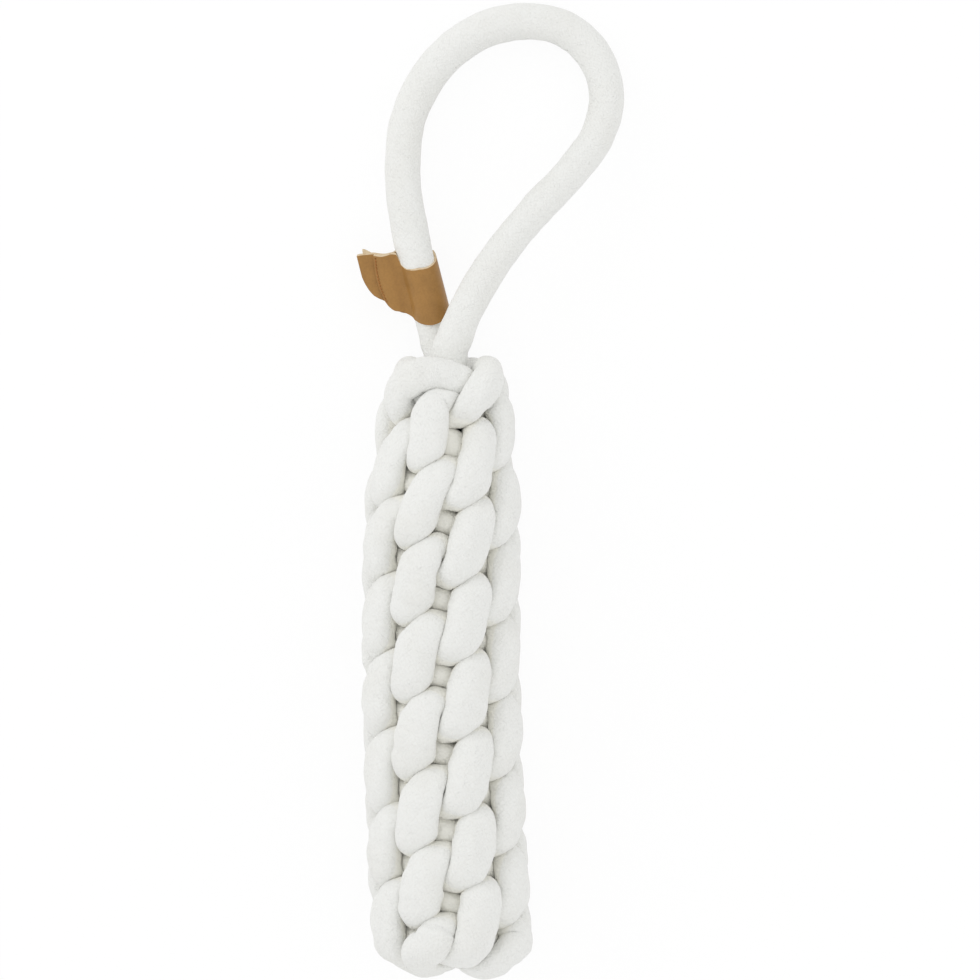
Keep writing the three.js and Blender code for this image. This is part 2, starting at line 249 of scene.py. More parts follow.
@dataclass
class Bundle:
    """Ropes that press on each other. Each is held to the space nearer to it than to the rest."""

    runs: list[Run]
    sides: int = 48
    first_seed: int = 11
    lump_height: float = 0.05 * MM
    # The power that rounds a free section, and the power that rounds where it is held
    roundness: float = 2.1
    softness: float = 9.0
    # A rope presses on itself only past its own reach, and on what the search finds
    own_reach: float = 14 * MM
    search: float = 22 * MM
    # Shares of the way to the middle of a bend, and to the surface between two ropes
    bend_share: float = 0.82
    overlap: float = 1.06
    smoothings: int = 2
    pressed_calm: float = 0.6

    @property
    def turn(self) -> np.ndarray:
        """Each side's angle round a rope."""
        return 2 * np.pi * np.arange(self.sides) / self.sides

    def ways(self, run: Run) -> np.ndarray:
        """The directions from each ring's middle to its sides."""
        turn = self.turn[:, None]
        return np.cos(turn) * run.across[:, None, :] + np.sin(turn) * run.through[:, None, :]

    def free(self, run: Run) -> np.ndarray:
        """Works out a free section.

        Args:
            run: The rope.

        Returns:
            How far each place would stand from the centreline with nothing beside it.
        """
        wide = np.abs(np.cos(self.turn)) / run.half_width[:, None]
        deep = np.abs(np.sin(self.turn)) / run.half_depth[:, None]
        return (wide**self.roundness + deep**self.roundness) ** (-1 / self.roundness)

    def limits(self, which: int) -> np.ndarray:
        """Works out how far each place may stand from the centreline.

        Args:
            which: The rope's number in the bundle.

        Returns:
            One row for each ring, with the distance at which each side meets a neighbour, or
            the inside of the rope's own bend.
        """
        run = self.runs[which]
        points = np.concatenate([r.centre for r in self.runs])
        owner = np.repeat(np.arange(len(self.runs)), [len(r.centre) for r in self.runs])
        travel = np.concatenate([r.travel for r in self.runs])
        cores = np.concatenate([r.core for r in self.runs])
        step = np.linalg.norm(np.diff(run.centre, axis=0), axis=1).mean()
        bend = np.gradient(np.gradient(run.centre, axis=0), axis=0) / step**2
        limits = []
        for ring, ways in enumerate(self.ways(run)):
            offset = points - run.centre[ring]
            apart = np.einsum("ij,ij->i", offset, offset)
            near = apart < self.search**2
            near &= (owner != which) | (np.abs(travel - run.travel[ring]) > self.own_reach)
            room = self.overlap * (apart[near] + run.core[ring] ** 2 - cores[near] ** 2) / 2
            reach = over(room, ways @ offset[near].T).min(axis=1, initial=np.inf)
            limits.append(np.minimum(reach, over(self.bend_share, ways @ bend[ring])))
        return np.array(limits)

    def surface(self, which: int) -> tuple[np.ndarray, np.ndarray]:
        """Places a rope's surface.

        Args:
            which: The rope's number in the bundle.

        Returns:
            The points, ring by ring, and how far each is pressed in, from 0 to 1.
        """
        run = self.runs[which]
        free = self.free(run)
        held = (free**-self.softness + self.limits(which) ** -self.softness) ** (-1 / self.softness)
        for _ in range(self.smoothings):
            padded = np.pad(held, ((1, 1), (0, 0)), mode="edge")
            held = (padded[:-2] + 2 * held + padded[2:]) / 4
            held = (np.roll(held, 1, axis=1) + 2 * held + np.roll(held, -1, axis=1)) / 4
        pressed = np.clip(1 - held / free, 0.0, 1.0)
        lumps = Lumps(self.first_seed + which, self.lump_height).heights(run.travel, self.turn)
        radii = held + lumps * (1 - self.pressed_calm * pressed)
        return run.centre[:, None, :] + radii[:, :, None] * self.ways(run), pressed

    def tube(self, name: str, which: int = 0) -> Piece:
        """Makes a tube of one of the ropes."""
        return tube_object(name, self.runs[which].travel, *self.surface(which))


def linked(name: str, data: bpy.types.ID) -> Piece:
    """Puts a mesh, a camera or a lamp into the scene.

    Args:
        name: The object's name.
        data: The mesh, the camera or the lamp.

    Returns:
        The object that carries it.
    """
    item = bpy.data.objects.new(name, data)
    bpy.context.scene.collection.objects.link(item)
    return item


def tube_object(name: str, travel: np.ndarray, surface: np.ndarray, pressed: np.ndarray) -> Piece:
    """Makes a closed tube from rings of points.

    Args:
        name: The piece's name.
        travel: Each ring's distance along the rope.
        surface: Rings of points.
        pressed: How far each point is pressed in, from 0 to 1.

    Returns:
        A mesh object whose UV map "lay" runs once round the rope, and in metres along it, and
        whose attribute "pressed" tells its creases from the rest, the mask for the cotton's painted
        light.
    """
    rings, sides, _ = surface.shape
    vertices = np.vstack([surface.reshape(-1, 3), surface[0].mean(axis=0), surface[-1].mean(axis=0)])
    here = np.arange((rings - 1) * sides)
    ring, side = np.divmod(here, sides)
    beside = ring * sides + (side + 1) % sides
    quads = np.stack([here, beside, beside + sides, here + sides], axis=1)
    first_cap, last_ring = rings * sides, (rings - 1) * sides
    ends = []
    for number in range(sides):
        following = (number + 1) % sides
        ends.append((first_cap, following, number))
        ends.append((first_cap + 1, last_ring + number, last_ring + following))
    mesh = bpy.data.meshes.new(name)
    mesh.from_pydata(vertices.tolist(), [], quads.tolist() + ends)
    around = np.stack([side, side + 1, side + 1, side], axis=1) / sides
    up = np.stack([travel[ring], travel[ring], travel[ring + 1], travel[ring + 1]], axis=1)
    lay = np.vstack([np.stack([around, up], axis=2).reshape(-1, 2), np.zeros((len(ends) * 3, 2))])
    mesh.uv_layers.new(name="lay").uv.foreach_set("vector", lay.astype(np.float32).ravel())
    mesh.validate()
    creases = mesh.attributes.new("pressed", "FLOAT", "POINT")
    creases.data.foreach_set("value", np.append(pressed.ravel(), [0.0, 0.0]).astype(np.float32))
    mesh.shade_smooth()
    return linked(name, mesh)


def select_only(*pieces: Piece) -> None:
    """Selects pieces alone, the first as the active one, or nothing at all.

    Args:
        *pieces: The pieces that the next operator acts on.
    """
    bpy.ops.object.select_all(action="DESELECT")
    for piece in pieces:
        piece.select_set(True)
    if pieces:
        bpy.context.view_layer.objects.active = pieces[0]


def joined(name: str, *parts: Piece) -> Piece:
    """Joins objects into one.

    Args:
        name: The name of the joined piece.
        *parts: The objects, of which the first is kept.

    Returns:
        The joined piece.
    """
    select_only(*parts)
    bpy.ops.object.join()
    parts[0].name = name
    return parts[0]


def apply_modifier(piece: Piece, kind: str, **settings: object) -> None:
    """Adds a modifier with its settings and applies it.

    Args:
        piece: The piece that it changes.
        kind: The modifier's type.
        **settings: Its settings by name.
    """
    select_only(piece)
    modifier = piece.modifiers.new(kind.lower(), kind)
    for name, value in settings.items():
        setattr(modifier, name, value)
    bpy.ops.object.modifier_apply(modifier=modifier.name)


def move_points(piece: Piece, moved: Callable[[np.ndarray], np.ndarray]) -> None:
    """Moves a piece's points.

    Args:
        piece: The piece.
        moved: Works out the new points from the old ones.
    """
    flat = np.empty(len(piece.data.vertices) * 3, dtype=np.float32)
    piece.data.vertices.foreach_get("co", flat)
    points = moved(flat.reshape(-1, 3).astype(float))
    piece.data.vertices.foreach_set("co", points.astype(np.float32).ravel())
    piece.data.update()


def shaped_grid(
    name: str,
    parts: tuple[int, int],
    shape: Callable[[np.ndarray, np.ndarray], np.ndarray],
    *materials: Material,
) -> Piece:
    """Adds a grid and shapes it.

    Args:
        name: The piece's name.
        parts: The grid's faces across and up.
        shape: Places points from their shares of the way across and up.
        *materials: Its materials, in the order of its faces' numbers.

    Returns:
        The shaped grid.
    """
    select_only()
    bpy.ops.mesh.primitive_grid_add(x_subdivisions=parts[0], y_subdivisions=parts[1], size=1.0)
    piece = bpy.context.object
    piece.name = name
    for material in materials:
        piece.data.materials.append(material)
    move_points(piece, lambda points: shape(points[:, 0] + 0.5, points[:, 1] + 0.5))
    return piece


def smooth_shell(piece: Piece, levels: int) -> None:
    """Smooths a closed shell, merges its doubles and turns its faces outwards.

    Args:
        piece: The shell.
        levels: How many times its faces are divided.
    """
    apply_modifier(piece, "SUBSURF", levels=levels, render_levels=levels)
    bpy.ops.object.mode_set(mode="EDIT")
    bpy.ops.mesh.select_all(action="SELECT")
    bpy.ops.mesh.remove_doubles(threshold=MERGE_DISTANCE)
    bpy.ops.mesh.normals_make_consistent(inside=False)
    bpy.ops.object.mode_set(mode="OBJECT")


def finish_piece(piece: Piece, body: Body, slot: Slot, node: str, *materials: Material) -> None:
    """Dresses a piece, hangs it on its body, hides the node whose place it takes, and logs its faces.

    Args:
        piece: The finished piece.
        body: The body that it rides on.
        slot: Its material slot in the record; not used.
        node: The node whose place it takes.
        *materials: Its materials, where it has none yet.
    """
    for material in materials:
        piece.data.materials.append(material)
    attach(piece, body.value)
    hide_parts(node)
    log.info("%s: %d faces", piece.name, len(piece.data.polygons))


@dataclass
class Sinnet:
    """The braided body: four strands of two ropes, crowned one tier on the last."""

    diameter: float = 12 * MM
    tiers: int = 16
    tier_height: float = 12.3 * MM
    strands: int = 4
    stitch_turn: float = math.radians(135)
    first_bend: float = math.radians(-102.1)
    ring_pitch: float = 0.95 * MM
    floor_cut: float = 1.2 * MM
    offset: Vector = (-16.170 * MM, -143.520 * MM, 0.0)
    # The spans are shares of the body's length, from where a change starts to where it ends
    foot_girth: float = 1.07
    middle_girth: float = 1.04
    top_girth: float = 0.895
    drawn_span: Span = (0.7, 0.93)
    top_twist: float = math.radians(16)
    twist_span: Span = (0.6, 1.033)
    sag: float = 1.9 * MM
    sag_span: Span = (0.03, 0.2)
    # How far the body bows to the right, in diameters, as three points of a curve
    bow: Vector = (0.34, -0.20, 0.21)
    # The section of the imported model's stitches at the outside, in diameters
    cad_outside_width: float = 1.0
    cad_outside_depth: float = 0.767
    # How many of a stitch's rows are its crown, and which is the middle of its run outside
    crown_rows: int = 5
    run_row: int = 6
    # Where points lie deep in the gaps, which the cotton paints lighter against the shade there: in
    # diameters from the axis, and in shares of the length
    gap_reach: Span = (1.45, 1.78)
    gap_foot_span: Span = (-0.02, 0.04)
    gap_top_span: Span = (0.89, 0.95)

    # turn, reach, tier, rise, width, depth, outside, in shares as in the source of the part
    stitch: Rows = (
        (-0.014, 1.469, 0.0, 0.263, 1.10, 0.88, 0.5),
        (0.078, 1.120, 0.0, 0.342, 0.98, 0.88, 0.0),
        (0.423, 0.905, 0.0, 0.000, 1.06, 0.92, 0.0),
        (0.772, 1.120, 0.0, -0.342, 0.98, 0.88, 0.0),
        (0.859, 1.469, 0.0, -0.263, 1.15, 0.88, 0.5),
        (0.895, 1.620, 0.0, 0.042, 1.13, 0.85, 1.0),
        (0.921, 1.680, 0.5, 0.000, 1.12, 0.84, 1.0),
        (0.956, 1.620, 1.0, -0.042, 1.12, 0.85, 1.0),
    )
    # The first crown's stitch crosses under with no stitch below to hold it up
    foot_crossing: Rows = (
        (0.772, 1.120, 0.0, -0.315, 0.95, 0.84, 0.0),
        (0.860, 1.460, 0.0, -0.210, 1.06, 0.84, 0.5),
        (0.896, 1.618, 0.0, 0.070, 1.10, 0.84, 1.0),
    )
    foot_stitch: Rows = stitch[:3] + foot_crossing + stitch[6:]
    # From the run up to the last crown but one to the tucked end, against that crown
    top: Rows = (
        (-0.116, 1.630, -1.0, 0.042, 1.20, 0.82, 1.0),
        (-0.122, 1.672, -0.5, 0.000, 1.24, 0.84, 1.0),
        (-0.126, 1.620, 0.0, -0.130, 1.20, 0.84, 1.0),
        (-0.118, 1.430, 0.0, 0.050, 1.06, 0.86, 0.5),
        (-0.010, 1.140, 0.0, 0.100, 0.94, 0.88, 0.0),
        (0.423, 0.880, 0.0, 0.000, 1.00, 0.90, 0.0),
        (0.750, 1.063, 0.0, -0.200, 0.94, 0.88, 0.0),
        (0.855, 1.469, 0.0, 0.020, 1.00, 0.90, 0.5),
        (0.893, 1.660, 0.0, 0.260, 1.04, 0.90, 1.0),
        (0.938, 1.700, 0.0, 0.520, 1.06, 0.92, 1.0),
        (1.005, 1.590, 0.0, 0.720, 1.06, 0.94, 1.0),
        (1.110, 1.290, 0.0, 0.840, 1.00, 0.96, 1.0),
        (1.400, 1.040, 0.0, 0.700, 0.96, 0.96, 0.0),
        (1.680, 1.060, 0.0, 0.400, 0.94, 0.90, 0.0),
        (1.800, 0.950, 0.0, 0.250, 0.90, 0.80, 0.0),
    )
    upper_bight: Rows = (
        (-0.24, 0.00, 0.0, -0.16, 0.80, 0.60, 0.0),
        (-0.24, 0.58, 0.0, -0.60, 0.86, 0.64, 0.0),
        (-0.22, 1.12, 0.0, -0.70, 0.94, 0.70, 0.0),
        (-0.14, 1.54, 0.0, -0.32, 0.98, 0.78, 0.5),
    )
    lower_bight: Rows = (
        (-0.24, 0.00, 0.0, -0.48, 0.88, 0.54, 0.0),
        (-0.24, 0.55, 0.0, -0.57, 0.88, 0.60, 0.0),
        (-0.22, 1.12, 0.0, -0.57, 0.92, 0.68, 0.0),
        (-0.14, 1.54, 0.0, -0.33, 0.98, 0.78, 0.5),
    )

    @property
    def length(self) -> float:
        """From the first crown to the last, before the top tier is drawn in."""
        return (self.tiers - 1) * self.tier_height

    @property
    def lowest_reach(self) -> float:
        """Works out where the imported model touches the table.

        Returns:
            How far its lowest stitches stand from the body's axis.
        """
        half_column = math.pi / (2 * self.strands)
        depth = self.cad_outside_depth / 2 * math.cos(half_column)
        width = self.cad_outside_width / 2 * math.sin(half_column)
        reach = self.stitch[self.run_row][1] * math.cos(half_column)
        return self.diameter * (reach + math.hypot(depth, width))

    def station(self, share: tuple[float, ...], start: float, tier: int) -> Station:
        """Places one station of a stitch.

        Args:
            share: The station's row of shares.
            start: The turn of the strand's first bend.
            tier: The stitch's tier.

        Returns:
            The station, before the body is settled.
        """
        turn, reach, tier_share, rise, width, depth, outside = share
        angle = start + (tier + turn) * self.stitch_turn
        centre = np.array([math.sin(angle), 0.0, math.cos(angle)]) * reach * self.diameter
        centre[1] = (tier + tier_share) * self.tier_height + rise * self.diameter
        return Station(centre, width * self.diameter, depth * self.diameter, outside)

    def strand(self, number: int, bight: Rows) -> list[Station]:
        """Lists a strand's stations.

        Args:
            number: The strand's number round the body.
            bight: The rows from the middle of its bight to its first run up the outside.

        Returns:
            The stations, from the middle of the bight to the tucked end.
        """
        start = self.first_bend + number * 2 * math.pi / self.strands
        last = self.tiers - 2
        turn, reach, _, *riser = self.stitch[-1]
        rows = [(share, 0) for share in (*bight, (turn - 1, reach, 0.0, *riser))]
        for tier in range(last):
            shares = self.stitch if tier else self.foot_stitch
            shares = shares if tier < last - 1 else shares[: self.crown_rows]
            rows += [(share, tier) for share in shares]
        rows += [(share, last) for share in self.top]
        return [self.station(share, start, tier) for share, tier in rows]

    def rope(self, number: int, bight: Rows) -> Run:
        """Lays one of the two ropes, doubled at its bight.

        Args:
            number: The number of its first strand.
            bight: The rows of its bight.

        Returns:
            The rope's rings, before the body is settled.
        """
        up = self.strand(number, bight)
        down = self.strand(number + self.strands // 2, bight)[1:]
        return lay_run(down[::-1] + up, self.ring_pitch, level=False)

    def girth(self, along: np.ndarray) -> np.ndarray:
        """Works out the body's swell.

        Args:
            along: Distances along the body.

        Returns:
            How many times wider than the straight sinnet the body is there.
        """
        share = along / self.length
        clipped = np.clip(share, 0.0, 1.0)
        swell = self.foot_girth + (self.middle_girth - self.foot_girth) * clipped
        return swell + (self.top_girth - swell) * smoothstep(share, *self.drawn_span)

    def settle(self, points: np.ndarray) -> np.ndarray:
        """Lays points of the straight sinnet where the finished body has them.

        Args:
            points: Points round the sinnet's straight axis.

        Returns:
            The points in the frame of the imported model.
        """
        share = points[..., 1] / self.length
        along = points[..., 1] - self.sag * smoothstep(share, *self.sag_span)
        girth = self.girth(along)
        twist = self.top_twist * smoothstep(share, *self.twist_span)
        aside = points[..., 0] * np.cos(twist) + points[..., 2] * np.sin(twist)
        height = points[..., 2] * np.cos(twist) - points[..., 0] * np.sin(twist)
        foot, middle, top = self.bow
        bow = (1 - share) ** 2 * foot + 2 * share * (1 - share) * middle + share**2 * top
        aside = aside * girth + self.diameter * bow
        height = (height + self.lowest_reach) * girth - self.floor_cut
        return np.stack([aside, along, height], axis=-1) + np.array(self.offset)

    def settled(self, run: Run) -> Run:
        """A rope's centreline where the finished body has it, as a neighbour of the handle."""
        girth = self.girth(run.centre[:, 1])
        return replace(run, centre=self.settle(run.centre), core=run.core * girth)

    def sunk(self, points: np.ndarray) -> np.ndarray:
        """Says how deep in the gaps between the stitches points lie.

        Args:
            points: Points round the sinnet's straight axis.

        Returns:
            Shares from 0 at the outside, the foot and the top to 1 deep inside.
        """
        share = points[..., 1] / self.length
        reach = np.hypot(points[..., 0], points[..., 2]) / self.diameter
        deep = 1 - smoothstep(reach, *self.gap_reach)
        return deep * smoothstep(share, *self.gap_foot_span) * (1 - smoothstep(share, *self.gap_top_span))

    def build(self, cotton: Material) -> list[Run]:
        """Makes the two ropes of the braid.

        Args:
            cotton: The rope's material.

        Returns:
            Both ropes' centrelines, before they are settled.
        """
        bundle = Bundle([self.rope(0, self.upper_bight), self.rope(1, self.lower_bight)])
        for number, node in enumerate(("braid_rope_a", "braid_rope_b")):
            surface, pressed = bundle.surface(number)
            # Deep gaps join the creases in the mask for the cotton's painted light
            pressed = np.maximum(pressed, self.sunk(surface))
            surface = self.settle(surface)
            surface[..., 2] = np.maximum(surface[..., 2], 0.0)
            piece = tube_object(f"{node}_sheath", bundle.runs[number].travel, surface, pressed)
            finish_piece(piece, Body.ROPE, Slot.COTTON, node, cotton)
        return bundle.runs


@dataclass
class Handle:
    """The loop of rope, with its two tails down the middle of the braid."""

    diameter: float = 12 * MM
    ring_pitch: float = 0.6 * MM
    lump_seed: int = 31
    lump_height: float = 0.018 * MM
    tail_width: float = 8.5 * MM
    tail_depth: float = 4.6 * MM
    tail_offset: float = 2.45 * MM
    tail_foot: float = 3 * MM
    tail_top: float = 178 * MM
    tail_parts: int = 12
    tail_ring_pitch: float = 1.2 * MM
    tail_sides: int = 24
    # The stretch between two of the route's points that the tag grips
    leg_points: tuple[int, int] = (4, 5)
    leg_parts: int = 3
    waist: float = 10.9 * MM
    waist_head: float = 11.8 * MM
    # The rope's thickness at places along the route, counted in its points, in millimetres
    thickness: Rows = (
        (0, 11.9),
        (3, 11.7),
        (6, 11.8),
        (8, 11.3),
        (12, 11.9),
        (15, 11.5),
        (17, 11.0),
        (20, 10.8),
        (23, 11.5),
        (26, 11.9),
    )
    # The route's points, in millimetres of the source of the part. The first two and the
    # last two lie hidden in the braid.
    route: Rows = (
        (1.6, 176.5, 16.2),
        (1.0, 182.5, 14.8),
        (0.4, 188.6, 13.4),
        (-0.6, 191.6, 12.6),
        (-1.6, 194.8, 12.3),
        (-8.8, 222.7, 10.8),
        (-10.4, 230.4, 10.3),
        (-11.6, 238.8, 9.8),
        (-12.0, 250.0, 9.0),
        (-10.2, 263.0, 8.2),
        (-4.6, 275.2, 7.4),
        (3.0, 284.2, 6.8),
        (14.0, 291.4, 6.4),
        (28.4, 294.2, 6.2),
        (41.2, 291.0, 6.3),
        (50.0, 282.2, 6.8),
        (53.4, 270.0, 7.8),
        (50.4, 257.2, 10.0),
        (42.2, 245.8, 12.6),
        (31.2, 233.9, 15.6),
        (22.4, 223.6, 18.2),
        (14.4, 212.1, 20.9),
        (8.2, 201.0, 23.4),
        (4.6, 192.2, 24.8),
        (3.2, 188.6, 24.2),
        (2.8, 182.5, 23.6),
        (2.2, 176.5, 22.6),
    )

    def place(self, index: int, sinnet: Sinnet) -> np.ndarray:
        """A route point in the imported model's frame."""
        return np.array(self.route[index]) * MM + np.array(sinnet.offset)

    def loop_stations(self, sinnet: Sinnet) -> list[Station]:
        """Lists the loop's stations.

        Args:
            sinnet: The braid that holds the loop.

        Returns:
            The stations from the left leg round to the right one, closer under the tag.
        """
        foot, head = self.leg_points
        sizes = np.interp(np.arange(len(self.route)), *zip(*self.thickness)) * MM
        sizes[[foot, head]] = self.waist, self.waist_head
        stations = [Station(self.place(index, sinnet), size, size) for index, size in enumerate(sizes)]
        start, way = stations[foot].centre, stations[head].centre - stations[foot].centre
        centres = [start + way * part / self.leg_parts for part in range(1, self.leg_parts)]
        stations[head:head] = [Station(centre, self.waist, self.waist) for centre in centres]
        return stations

    def tail(self, side: int, sinnet: Sinnet) -> Run:
        """Lays one squeezed tail down the middle of the braid.

        Args:
            side: 1 for the upper tail, -1 for the lower one.
            sinnet: The braid that squeezes it.

        Returns:
            The tail's rings.
        """
        stations = []
        for along in np.linspace(self.tail_foot, self.tail_top, self.tail_parts):
            centre = sinnet.settle(np.array([0.0, along, side * self.tail_offset]))
            girth = float(sinnet.girth(along))
            stations.append(Station(centre, self.tail_width * girth, self.tail_depth * girth))
        return lay_run(stations, self.tail_ring_pitch, level=True)

    def build(self, sinnet: Sinnet, strands: list[Run], cotton: Material) -> None:
        """Makes the loop and the two tails.

        Args:
            sinnet: The braid that holds the tails.
            strands: The braid's ropes, before they are settled.
            cotton: The rope's material.
        """
        loop = lay_run(self.loop_stations(sinnet), self.ring_pitch, level=True)
        runs = [loop] + [sinnet.settled(run) for run in strands]
        held = Bundle(runs, first_seed=self.lump_seed, lump_height=self.lump_height)
        surface, pressed = held.surface(0)
        surface[..., 2] = np.maximum(surface[..., 2], 0.0)
        piece = tube_object("handle_loop", loop.travel, surface, pressed)
        finish_piece(piece, Body.ROPE, Slot.COTTON, "handle_rope", cotton)
        pair = [self.tail(-1, sinnet), self.tail(1, sinnet)]
        bundle = Bundle(pair, sides=self.tail_sides, lump_height=0.0)
        tails = joined("handle_tails", bundle.tube("lower_tail", 0), bundle.tube("upper_tail", 1))
        finish_piece(tails, Body.ROPE, Slot.COTTON, "handle_rope", cotton)


@dataclass
class TagCorner:
    """The raw corner of leather that curls up behind the flaps' head edge."""

    parts: int = 8
    thickness: float = 0.5 * MM
    base_right: Span = (-13.3 * MM, 13.6 * MM)
    base_left: Span = (-16.4 * MM, 13.5 * MM)
    tip: Span = (-16.0 * MM, 16.2 * MM)
    tip_width: float = 0.12
    through: float = -0.8 * MM
    curl: float = 0.9 * MM
    smoothing: int = 2

    def points(self, across: np.ndarray, rise: np.ndarray) -> np.ndarray:
        """Places points of the corner, in the sleeve's own frame.

        Args:
            across: Shares from the left end of its base to the right.
            rise: Shares from its base to its tip.

        Returns:
            Points across, along and through the sleeve.
        """
        left, right = np.array(self.base_left), np.array(self.base_right)
        base = left + (right - left) * across[:, None]
        head = np.tile(self.tip, (len(across), 1))
        head[:, 0] += self.tip_width * (across - 0.5) * (right - left)[0]
        flat = base + (head - base) * rise[:, None]
        return np.column_stack([flat, self.through + self.curl * rise**2])

    def build(self, raw: Material) -> Piece:
        """Shapes the corner from a grid.

        Args:
            raw: The material of raw leather.

        Returns:
            The corner, in the sleeve's own frame.
        """
        piece = shaped_grid("tag_corner", (self.parts, self.parts), self.points, raw)
        apply_modifier(piece, "SOLIDIFY", thickness=self.thickness, offset=0.0)
        smooth_shell(piece, self.smoothing)
        return piece


@dataclass
class LeatherTag:
    """A strap of leather folded round the left leg of the loop, its two flaps laid together."""

    place_share: float = 0.515
    thickness: float = 0.8 * MM
    sleeve_radius: float = 5.97 * MM
    sleeve_turn: float = math.radians(158)
    sleeve_columns: int = 15
    sleeve_head: float = 8.5 * MM
    sleeve_foot: float = -8.3 * MM
    head_slope: float = 0.27
    shoulder_from: float = math.radians(95)
    shoulder_to: float = math.radians(190)
    shoulder_pinch: float = 0.4 * MM
    shoulder_drop: float = 1.7 * MM
    # Points dip toward the foot by a share of how far through they lie, down to the least
    dip: float = 0.8
    least_through: float = -2.4 * MM
    # Faces from the foot edge to the head edge, and from each column to the next
    rows: int = 28
    steps: int = 4
    free_edge_bow: float = 0.9 * MM
    bow_span: Span = (9 * MM, 13 * MM)
    wave_height: float = 0.08 * MM
    wave_length: float = 9 * MM
    edge_round: float = 0.14 * MM
    edge_segments: int = 2
    edge_angle: float = math.radians(50)
    smoothing: int = 1
    # Columns of the flaps: across, through, head and foot, in millimetres from the middle of
    # the sleeve, from the front flap's free edge to the sleeve and on to the back flap's
    front_flap: Rows = (
        (-13.05, 0.62, 14.1, -1.0),
        (-12.3, 1.00, 14.1, -2.6),
        (-11.0, 1.70, 14.0, -3.9),
        (-9.2, 1.90, 14.0, -4.6),
        (-7.6, 1.60, 13.8, -5.8),
        (-6.0, 1.80, 13.4, -7.1),
    )
    back_flap: Rows = (
        (-6.4, -1.00, 12.1, -8.1),
        (-7.6, 0.10, 12.9, -7.0),
        (-9.2, 0.95, 13.6, -5.5),
        (-11.0, 0.72, 13.9, -3.8),
        (-13.0, -0.22, 14.0, -1.7),
        (-14.8, -0.42, 14.1, -0.5),
        (-16.2, -0.55, 14.2, 0.8),
        (-17.2, -0.75, 14.2, 2.6),
        (-17.9, -0.95, 14.1, 4.6),
        (-18.3, -1.15, 14.0, 7.0),
    )

    @property
    def front_length(self) -> float:
        """The front flap's length along the strap."""
        return (self.front_flap[-1][0] - self.front_flap[0][0]) * MM

    def columns(self) -> np.ndarray:
        """Lists the strap's columns.

        Returns:
            Rows of across, through, head and foot, in metres.
        """
        turn = np.linspace(self.sleeve_turn, -self.sleeve_turn, self.sleeve_columns)
        share = (turn - self.shoulder_from) / (self.shoulder_to - self.shoulder_from)
        shoulder = np.sin(np.pi * np.clip(share, 0.0, 1.0))
        radius = self.sleeve_radius - self.shoulder_pinch * shoulder
        across = radius * np.cos(turn)
        head = self.sleeve_head + self.head_slope * (self.sleeve_radius - across)
        head -= self.shoulder_drop * shoulder
        foot = np.full_like(turn, self.sleeve_foot)
        sleeve = np.column_stack([across, radius * np.sin(turn), head, foot])
        return np.vstack([np.array(self.front_flap) * MM, sleeve, np.array(self.back_flap) * MM])

    def profile(self) -> np.ndarray:
        """Runs a smooth profile through the columns.

        Returns:
            Rows of across, through, head, foot and distance along the strap.
        """
        columns = self.columns()
        samples, places = spline(columns[:, :2], self.steps)
        head, foot = (np.interp(places, np.arange(len(columns)), columns[:, side]) for side in (2, 3))
        return np.column_stack([samples, head, foot, travelled(samples)])

    def strap_points(self, row: np.ndarray, rise: np.ndarray) -> np.ndarray:
        """Places points of the strap's middle, in the sleeve's own frame.

        Args:
            row: Rows of the profile, or one for all the points.
            rise: Shares of the way from the foot edge to the head edge.

        Returns:
            Points across, along and through the sleeve.
        """
        across, through, head, foot, travel = row.T
        along = foot + (head - foot) * rise
        free = smoothstep(-across, *self.bow_span) * (travel < self.front_length)
        across = across - self.free_edge_bow * np.sin(np.pi * rise) * free
        wave = self.wave_height * np.sin(2 * np.pi * (along + across) / self.wave_length)
        return np.column_stack([across, along, through + wave])

    def lay(self, piece: Piece, handle: Handle, sinnet: Sinnet) -> None:
        """Lays a piece of the sleeve's own frame on the leg, its front dipping toward the foot.

        Args:
            piece: The piece, with points across, along and through the sleeve.
            handle: The loop that carries the tag.
            sinnet: The braid.
        """
        foot, head = (handle.place(index, sinnet) for index in handle.leg_points)
        along = unit(head - foot)
        across = unit(np.cross(along, UP))
        ways = np.array([across, along, np.cross(across, along)])
        middle = foot + (head - foot) * self.place_share

        def laid(points: np.ndarray) -> np.ndarray:
            """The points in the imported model's frame."""
            points[:, 1] -= self.dip * np.maximum(points[:, 2], self.least_through)
            return middle + points @ ways

        move_points(piece, laid)

    def strap(self, leather: Material, raw: Material) -> Piece:
        """Folds a grid into the strap and gives it its thickness and rounded edges.

        Args:
            leather: The strap's smooth faces.
            raw: Its cut edges.

        Returns:
            The strap, in the sleeve's own frame.
        """
        profile = self.profile()
        spans = len(profile) - 1

        def folded(across: np.ndarray, rise: np.ndarray) -> np.ndarray:
            """The points' places from their shares of the strap's length and height."""
            return self.strap_points(profile[np.rint(across * spans).astype(int)], rise)

        piece = shaped_grid("tag_strap", (spans, self.rows), folded, leather, raw)
        apply_modifier(piece, "SOLIDIFY", thickness=self.thickness, offset=0.0, material_offset_rim=1)
        apply_modifier(
            piece,
            "BEVEL",
            width=self.edge_round,
            segments=self.edge_segments,
            limit_method="ANGLE",
            angle_limit=self.edge_angle,
        )
        smooth_shell(piece, self.smoothing)
        return piece

